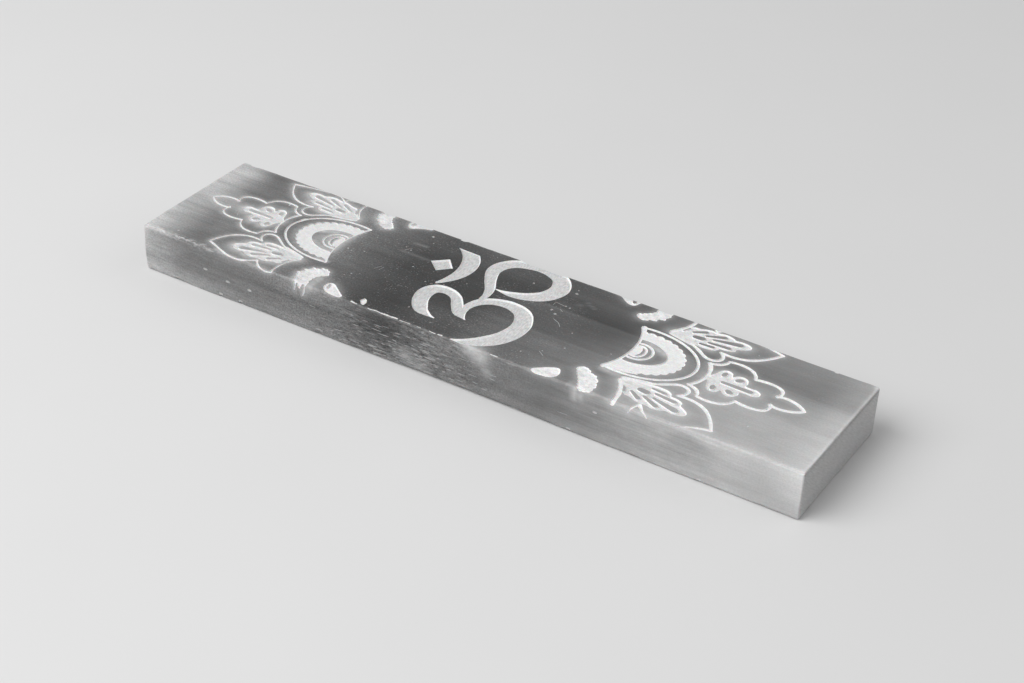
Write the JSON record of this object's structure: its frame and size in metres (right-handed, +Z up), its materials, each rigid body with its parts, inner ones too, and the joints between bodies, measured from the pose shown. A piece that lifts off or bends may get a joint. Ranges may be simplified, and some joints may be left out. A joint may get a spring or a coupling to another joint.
{
  "type": "engraved selenite slab",
  "caption": "Flat bar of white satin-spar selenite with worn edges, its top engraved with an Om sign between two half-flower ornaments.",
  "frame": {"origin": "middle of the underside, on the surface that the slab lies on", "axes": "+X along the length, towards the sign's foot; +Y across the width; +Z up, out of the engraved face"},
  "size_m": [0.2, 0.045, 0.014],
  "materials": {
    "selenite": "polished satin, frosted white where engraved"
  },
  "bodies": {
    "root": {"selenite_slab": "selenite"}
  },
  "joints": []
}
